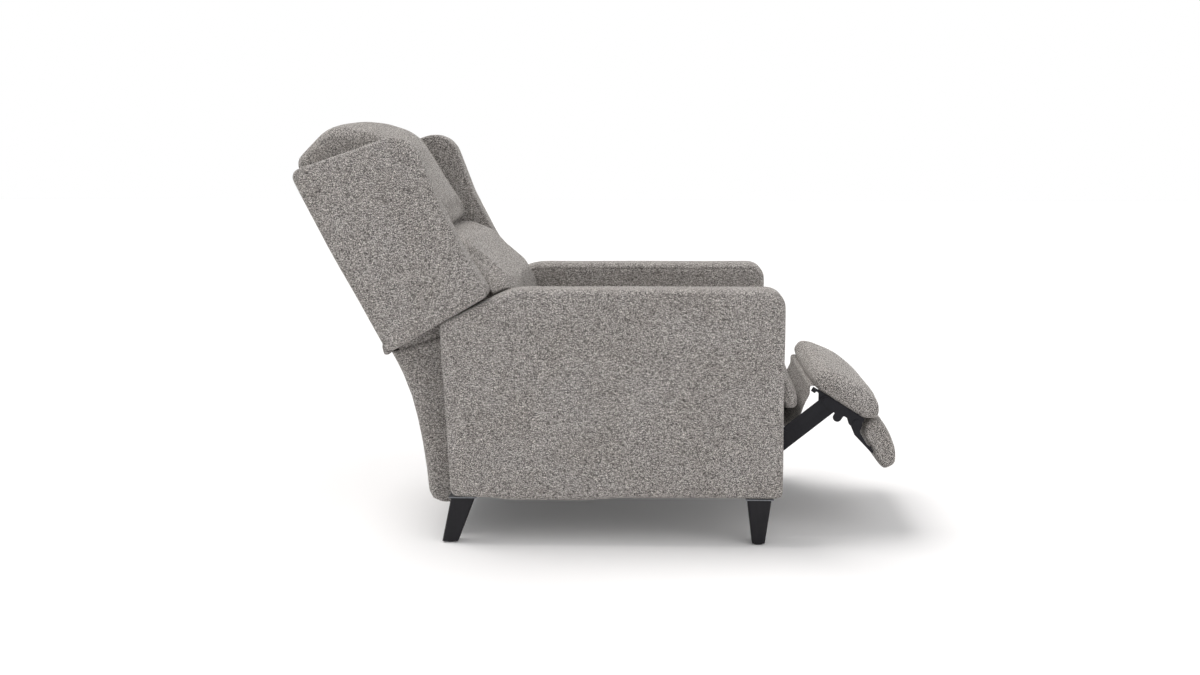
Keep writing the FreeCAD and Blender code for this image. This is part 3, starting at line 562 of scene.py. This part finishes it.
tweed = fabric("tweed", turn=(0, 35, 0), run=(1, 0.2, 1))
tweed_across = fabric("tweed_across", turn=(35, 0, 0), run=(0.2, 1, 1))
black_steel = hard("black_steel", linear(20, 20, 25), linear(44, 44, 50), scale=260, rough=0.45,
                   metallic=0.1, shine=0.25)
zinc = hard("zinc", linear(104, 106, 110), linear(84, 86, 90), scale=200, rough=0.42,
            metallic=0.85)
spring_steel = hard("spring_steel", linear(86, 88, 94), linear(60, 56, 54), scale=180, rough=0.4,
                    metallic=0.85)
black_wood = hard("black_wood", linear(20, 19, 23), linear(40, 37, 38), scale=120, rough=0.45,
                  run=(1, 1, 0.06), turn=(0, 0, 31), bump_size=0.0008, coat=0.04, shine=0.25)
pine = hard("pine", linear(176, 140, 98), linear(150, 112, 74), scale=90, rough=0.7,
            run=(1, 0.08, 1), turn=(0, 31, 0), bump_size=0.001)
band = hard("band", linear(52, 50, 50), linear(78, 74, 70), scale=500, rough=0.85,
            bump_size=0.0012)
plastic = hard("plastic", linear(28, 28, 30), linear(52, 52, 54), scale=420, rough=0.5)

# Solids of the CAD that stay: each has its slot's finish, apart from the wood that is covered
finishes = {
    "linkage_steel": black_steel, "zinc_steel": zinc, "spring_steel": spring_steel,
    "leg_wood": black_wood, "frame_wood": pine, "webbing": band, "glide_plastic": plastic,
    "upholstery": tweed}
wrapped = {
    "seat_frame": tweed, "back_frame": tweed, "wing_board_left": tweed, "wing_board_right": tweed,
    "front_stretcher": band, "rear_stretcher": band, "footrest_board": band,
    "flipper_board": band}
for part in frame["record"]["subparts"]:
    for holder in frame["nodes"][part["node"]].material_slots:
        holder.material = wrapped.get(part["node"], finishes[part["material_slot"]])

# Arms: padded slabs with a seam round the top and a wavy hem
arm_loop = rounded([
    (-448, 120, 14), (-446, 631, 44), (205, 630, 150), (383, 546, 18), (361, 119, 18),
    (273, 118, 60), (210, 111, 60), (46, 111, 60), (-57, 119, 60)])
for side, low, high in (("left", ARM_INNER, ARM_OUTER), ("right", -ARM_OUTER, -ARM_INNER)):
    arm = pad("arm_pad_" + side, arm_loop, low, high, rim=17)
    remesh(arm, voxel=6.0)
    smooth(arm, times=2)
    ripple(arm, height=0.7, length=60, seed=3)
    strip = inset(arm_loop, 16)
    bearing = np.degrees(np.arctan2(strip[:, 1] - ARM_MIDDLE[1], strip[:, 0] - ARM_MIDDLE[0]))
    sewn = (bearing > ARM_SEAM_GAP[1]) | (bearing < ARM_SEAM_GAP[0])
    upper = strip[sewn][np.argsort(bearing[sewn] % 360)]
    seams = [dense(at_side(upper, x)) for x in (low + SEAM_INSET, high - SEAM_INSET)]
    subdivide(arm)
    groove(arm, seams, depth=2.2, width=2.6)
    finish_piece(arm, "base", tweed, ["arm_cover_" + side])

# Wings: their outer side has the softer rim
wing_loop = rounded(placed(back_point, [
    (-10, 0, 20), (300, -4, 300), (480, 0, 20), (435, 304, 70), (250, 281, 200), (120, 280, 200),
    (2, 289, 20)]))
for side, low, high, rims in (("left", WING_INNER, WING_OUTER, (6, 12)),
                              ("right", -WING_OUTER, -WING_INNER, (12, 6))):
    wing = pad("wing_pad_" + side, wing_loop, low, high, rim=rims)
    remesh(wing, voxel=5.0)
    smooth(wing, times=2)
    ripple(wing, height=0.7, length=55, seed=5)
    strip = inset(wing_loop, 11)
    seams = [dense(at_side(strip, x), True) for x in (low + SEAM_INSET, high - SEAM_INSET)]
    subdivide(wing)
    groove(wing, seams, depth=2.0, width=2.4)
    finish_piece(wing, "back", tweed, ["wing_cover_" + side])


# Cushions
def cushion(name, loop, half, rim, crown, pressure, cap, voxel, free, shrink, seams=()):
    """Stuffed cushion that starts shrink inside its outline and is then blown up as cloth."""
    piece = pad(name, inset(loop, shrink), -half, half, rim, crown, pull=2.0)
    remesh(piece, voxel)
    smooth(piece, times=3)
    inflate(piece, pressure, cap, free)
    ripple(piece, height=1.0, length=80, seed=len(name))
    subdivide(piece)
    if seams:
        groove(piece, seams, depth=3.0, width=3.2)
    smooth(piece, times=1)
    return piece


def away_from(point, along, reach):
    """Share that is 0 behind a line through a point and grows to 1 within reach, along it."""
    direction = np.array(along, float) / np.linalg.norm(along)

    def share(points):
        run = (points[:, 1:] - np.array(point)) @ direction
        return np.clip(run / reach, 0, 1)
    return share


def narrow_sides(piece):
    """Draws a pillow's sides in between the arms and under the wings."""
    points = coordinates(piece)
    origin = np.array(back_point(0, 0))
    up = (points[:, 1:] - origin) @ (np.array(back_point(1, 0)) - origin)
    slope = ARM_SLOPE_TOP - (points[:, 1] - ARM_SLOPE_START) * ARM_SLOPE
    above_arm = points[:, 2] - np.minimum(ARM_TOP, slope)
    narrow = np.clip((ARM_NARROW_RUN - above_arm) / ARM_NARROW_RUN, 0, 1)
    under_wing = np.clip((WING_FOOT - up) / WING_NARROW_RUN, 0, 1)
    behind = (points[:, 1:] - origin) @ back_forward < WING_FRONT
    narrow = np.where(behind, np.maximum(narrow, under_wing), narrow)
    limit = PILLOW_HALF - PILLOW_NARROWING * narrow * narrow * (3 - 2 * narrow)
    points[:, 0] *= np.minimum(1, limit / np.maximum(np.abs(points[:, 0]), 1))
    move_to(piece, points)


back_forward = second_axis(back_point)
front_of_boards = away_from(back_point(0, 66), back_forward, 60)

head_loop = rounded(placed(back_point, [
    (194, 62, 10), (194, 248, 14), (232, 242, 40), (300, 236, 200), (370, 232, 150),
    (430, 225, 150), (486, 208, 90), (546, 122, 80), (506, -1, 34), (424, -1, 10), (424, 62, 6)]))
head_seams = [dense(at_side(inset(head_loop, 12), x), True) for x in (-PILLOW_SEAM, PILLOW_SEAM)]
head = cushion("head_cushion", head_loop, PILLOW_HALF, rim=22, crown=12, pressure=3.0, cap=9,
               voxel=7.0, free=front_of_boards, shrink=6, seams=head_seams)
finish_piece(head, "back", tweed_across, ["head_pillow"])

lumbar_loop = rounded(placed(back_point, [
    (-128, 62, 34), (-128, 264, 40), (-74, 333, 40), (-3, 331, 110), (70, 302, 150),
    (142, 278, 80), (192, 238, 28), (192, 62, 10)]))
lumbar = cushion("lumbar_cushion", lumbar_loop, PILLOW_HALF, rim=26, crown=10, pressure=3.0,
                 cap=9, voxel=7.0, free=front_of_boards, shrink=6)
narrow_sides(lumbar)
finish_piece(lumbar, "back", tweed_across, ["lumbar_pillow"])

seat_loop = rounded([
    (-497, 316, 14), (-494, 356, 40), (-464, 408, 60), (-424, 486, 46), (-147, 489, 200),
    (200, 464, 34), (205, 384, 10), (-452, 384, 6), (-452, 316, 10)])
seat = cushion("seat_pad", seat_loop, SEAT_HALF, rim=18, crown=8, pressure=3.0, cap=12, voxel=7.0,
               free=away_from((0, 386), (0, 1), 40), shrink=6)
finish_piece(seat, "seat", tweed_across, ["seat_cushion"])

rest_loop = rounded(placed(rest_point, [
    (16, -1, 8), (-6, 14, 10), (-4, 48, 20), (92, 64, 150), (166, 54, 38), (190, 18, 14),
    (153, -1, 10)]), step=5)
leg_rest = cushion("leg_rest_pad", rest_loop, REST_HALF, rim=11, crown=3, pressure=2.5, cap=5,
                   voxel=5.5, free=away_from(rest_point(0, 2), second_axis(rest_point), 25),
                   shrink=0)
finish_piece(leg_rest, "footrest", tweed_across,
             ["footrest_pad", "footrest_board"])

flap_loop = rounded(placed(flap_point, [
    (12, 26, 10), (20, 53, 14), (66, 59, 150), (116, 51, 26), (146, 36, 16), (145, 1, 12),
    (40, 1, 14)]), step=5)
foot_flap = cushion("foot_flap_pad", flap_loop, FLAP_HALF, rim=9, crown=3, pressure=2.5, cap=3,
                    voxel=5.0, free=away_from(flap_point(0, 5), second_axis(flap_point), 20),
                    shrink=0)
finish_piece(foot_flap, "flipper", tweed_across,
             ["flipper_pad", "flipper_board"])

# Cloth over the back with a rolled hem, and the aprons beside the lumbar pillow
panel_loop = rounded(placed(back_point, [
    (-13, 9, 3), (-13, -6, 3), (-18, -17, 5), (-12, -27, 5), (7, -22, 8), (34, -3, 30),
    (418, 0, 4), (418, 9, 3)]), step=3)
panel = pad("back_cloth", panel_loop, -PANEL_HALF, PANEL_HALF, rim=3, across=60)
remesh(panel, voxel=4.0)
smooth(panel, times=2)
apron_loop = rounded(placed(back_point, [
    (-27, 9, 6), (-47, 190, 6), (33, 190, 3), (33, 52, 3), (72, 51, 3), (72, 9, 3)]), step=3)
for side, low, high in (("left", APRON_INNER, APRON_OUTER),
                        ("right", -APRON_OUTER, -APRON_INNER)):
    apron = pad("side_cloth_" + side, apron_loop, low, high, rim=1.8, across=4)
    finish_piece(apron, "back", tweed,
                 ["back_side_panels"] if side == "left" else [])
finish_piece(panel, "back", tweed_across, ["back_panel"])


# Cloth sheets
def strip_sheet(name, path, half, thick, sag, across=40):
    """Sheet across the chair along an open (y, z) path; sag gives its bend at each x."""
    line = dense([(0, y, z) for y, z in path], step=6)[:, 1:]
    along = np.gradient(line, axis=0)
    along /= np.linalg.norm(along, axis=1, keepdims=True)
    out = np.stack([-along[:, 1], along[:, 0]], 1)
    points, faces, count = [], [], len(line)
    for layer in (0.5, -0.5):
        for k in range(across + 1):
            x = half * (2 * k / across - 1)
            bend = sag(x)
            for (y, z), (ny, nz), part in zip(line, out, np.linspace(0, 1, count)):
                push = layer * thick + bend * math.sin(math.pi * part)
                points.append((x, y + ny * push, z + nz * push))
    size = (across + 1) * count
    for k in range(across):
        for i in range(count - 1):
            a, b = k * count + i, (k + 1) * count + i
            faces.append([a, a + 1, b + 1, b])
            faces.append([size + a, size + b, size + b + 1, size + a + 1])
    for i in range(count - 1):
        faces.append([i + 1, i, size + i, size + i + 1])
        last = across * count + i
        faces.append([last, last + 1, size + last + 1, size + last])
    for k in range(across):
        a, b = k * count, (k + 1) * count
        faces.append([a, b, size + b, size + a])
        a, b = a + count - 1, b + count - 1
        faces.append([b, a, size + a, size + b])
    return new_object(name, points, faces)


tail_path = [back_point(38, 55), back_point(-60, 55), back_point(-148, 55)]
tail = strip_sheet("tail_cloth", tail_path, TAIL_HALF, thick=3,
                   sag=lambda x: 2.5 * math.sin(x / 55))
finish_piece(tail, "back", tweed_across, ["back_tail"])

cover_path = [
    rest_point(10, 3), (-522, 379), (-519.5, 371), (-520.5, 362), (-518, 352), (-511.5, 340),
    (-505, 326), (-500, 310), (-491, 292), (-472, 278), (-444, 274), (-430, 296), (-430, 320)]
cover = strip_sheet("gap_cloth", cover_path, COVER_HALF, thick=2.4,
                    sag=lambda x: 1.2 * math.cos(x / 60))
finish_piece(cover, "seat", tweed_across, ["gap_cover"])
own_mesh(cover)

# Rear curtain: one cloth round the back of the base, from arm to arm, as (y, z) up its rear
curtain_profile = [
    (405, 84), (420, 90), (429, 108), (434, 165), (443, 231), (454, 291), (468, 348), (488, 400),
    (507, 440), (517, 461)]
CURTAIN_THICKNESS = 2.0
CURTAIN_CORNER = 26
CORNER_STEPS = 8
SIDE_STEPS = 6
REAR_STEPS = 26
# Its front edges lean back on the way up and are tucked in between the arms above their hem
EDGE_PLACE = 361
EDGE_LEAN = 22
EDGE_TUCK = 18
# Its sides' top edge rises towards the front, and shallow folds run down its rear
SIDE_FROM = 230
SIDE_RISE = 0.32
TOP_REAR = 517
FOLDS_WITHIN = 240
FOLD_DEPTH = 1.6
FOLD_LENGTH = 47.0


def grown(value, start, run):
    """0 up to start, then growing to 1 within run."""
    return min(1, max(0, (value - start) / run))


def curtain_row(y_rear, z):
    """Level of the curtain at height z: its side, corner, rear, corner and side."""
    front = EDGE_PLACE + EDGE_LEAN * grown(z, 120, 420) - EDGE_TUCK * grown(z, 125, 15)
    depth = max(y_rear - front, 2)
    turn = min(CURTAIN_CORNER, depth)
    across = [(-CURTAIN_HALF, front + (depth - turn) * k / SIDE_STEPS) for k in range(SIDE_STEPS)]
    for k in range(CORNER_STEPS + 1):
        angle = math.pi / 2 * k / CORNER_STEPS
        across.append((-CURTAIN_HALF + turn * (1 - math.cos(angle)),
                       y_rear - turn * (1 - math.sin(angle))))
    middle = [(-CURTAIN_HALF + turn + (CURTAIN_HALF - turn) * 2 * k / REAR_STEPS, y_rear)
              for k in range(1, REAR_STEPS)]
    row = []
    for x, y in across + middle + [(-x, y) for x, y in across[::-1]]:
        raised, fold = 0, 0
        if abs(x) > SIDE_FROM:
            raised = SIDE_RISE * max(0, TOP_REAR - y) * grown(z, 345, 116) ** 1.5
        if abs(x) < FOLDS_WITHIN:
            fold = FOLD_DEPTH * math.sin(x / FOLD_LENGTH) * math.sin(math.pi * grown(z, 84, 380))
        row.append((x, y + fold, z + raised))
    return row


line = dense([(0, y, z) for y, z in curtain_profile], step=8)[:, 1:]
rows = [curtain_row(y_rear, z) for y_rear, z in line]
ring = len(rows[0])
curtain_points = [point for row in rows for point in row]
curtain_faces = []
for level in range(len(rows) - 1):
    for k in range(ring - 1):
        a, b = level * ring + k, (level + 1) * ring + k
        curtain_faces.append([a, a + 1, b + 1, b])
curtain = new_object("rear_cloth", curtain_points, curtain_faces)
change = curtain.modifiers.new("thick", "SOLIDIFY")
change.thickness = CURTAIN_THICKNESS * MM
change.offset = 0
bake(curtain)
finish_piece(curtain, None, tweed, ["rear_curtain"])
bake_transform(curtain)


# Floor and light
def seen_directly(tree):
    """1 for what the camera sees, straight or through a reflection or glass."""
    path = node(tree, "ShaderNodeLightPath", {}).outputs
    seen = node(tree, "ShaderNodeMath", {0: path["Is Camera Ray"], 1: path["Is Glossy Ray"]},
                operation="MAXIMUM")
    seen = node(tree, "ShaderNodeMath", {0: seen.outputs[0], 1: path["Is Transmission Ray"]},
                operation="MAXIMUM")
    return seen.outputs[0]


def add_floor():
    corners = [(-FLOOR_HALF, -FLOOR_HALF, 0), (FLOOR_HALF, -FLOOR_HALF, 0),
               (FLOOR_HALF, FLOOR_HALF, 0), (-FLOOR_HALF, FLOOR_HALF, 0)]
    floor = new_object("floor", corners, [[0, 1, 2, 3]])
    material, tree = tree_of("floor_white")
    seen = seen_directly(tree)
    bare = node(tree, "ShaderNodeBsdfDiffuse", {"Color": FLOOR_COLOUR})
    glow = node(tree, "ShaderNodeEmission", {"Color": (1, 1, 1, 1), "Strength": FLOOR_GLOW})
    both = node(tree, "ShaderNodeAddShader", {0: bare.outputs[0], 1: glow.outputs[0]})
    shader = node(tree, "ShaderNodeMixShader", {0: seen, 1: bare.outputs[0], 2: both.outputs[0]})
    node(tree, "ShaderNodeOutputMaterial", {"Surface": shader.outputs[0]})
    floor.data.materials.append(material)


def add_world():
    world = bpy.data.worlds.new("studio")
    world.use_nodes = True
    tree = world.node_tree
    tree.nodes.clear()
    level = node(tree, "ShaderNodeMapRange",
                 {"Value": seen_directly(tree), "To Min": STUDIO_LEVEL, "To Max": 1.0})
    shader = node(tree, "ShaderNodeBackground",
                  {"Color": (1, 1, 1, 1), "Strength": level.outputs[0]})
    node(tree, "ShaderNodeOutputWorld", {"Surface": shader.outputs[0]})
    scene.world = world


def add_sun(name, towards, strength, spread):
    """Soft lamp that stands in the direction towards; spread is its width in degrees."""
    data = bpy.data.lights.new(name, "SUN")
    data.color = WARM_WHITE
    data.energy = strength
    data.angle = math.radians(spread)
    lamp = bpy.data.objects.new(name, data)
    scene.collection.objects.link(lamp)
    lamp.rotation_euler = Vector(towards).to_track_quat("Z", "Y").to_euler()


add_floor()
add_world()
add_sun("key", towards=(0.14, 0.40, 0.90), strength=2.1, spread=36)
add_sun("front_fill", towards=(-0.62, -0.45, 0.64), strength=0.70, spread=60)
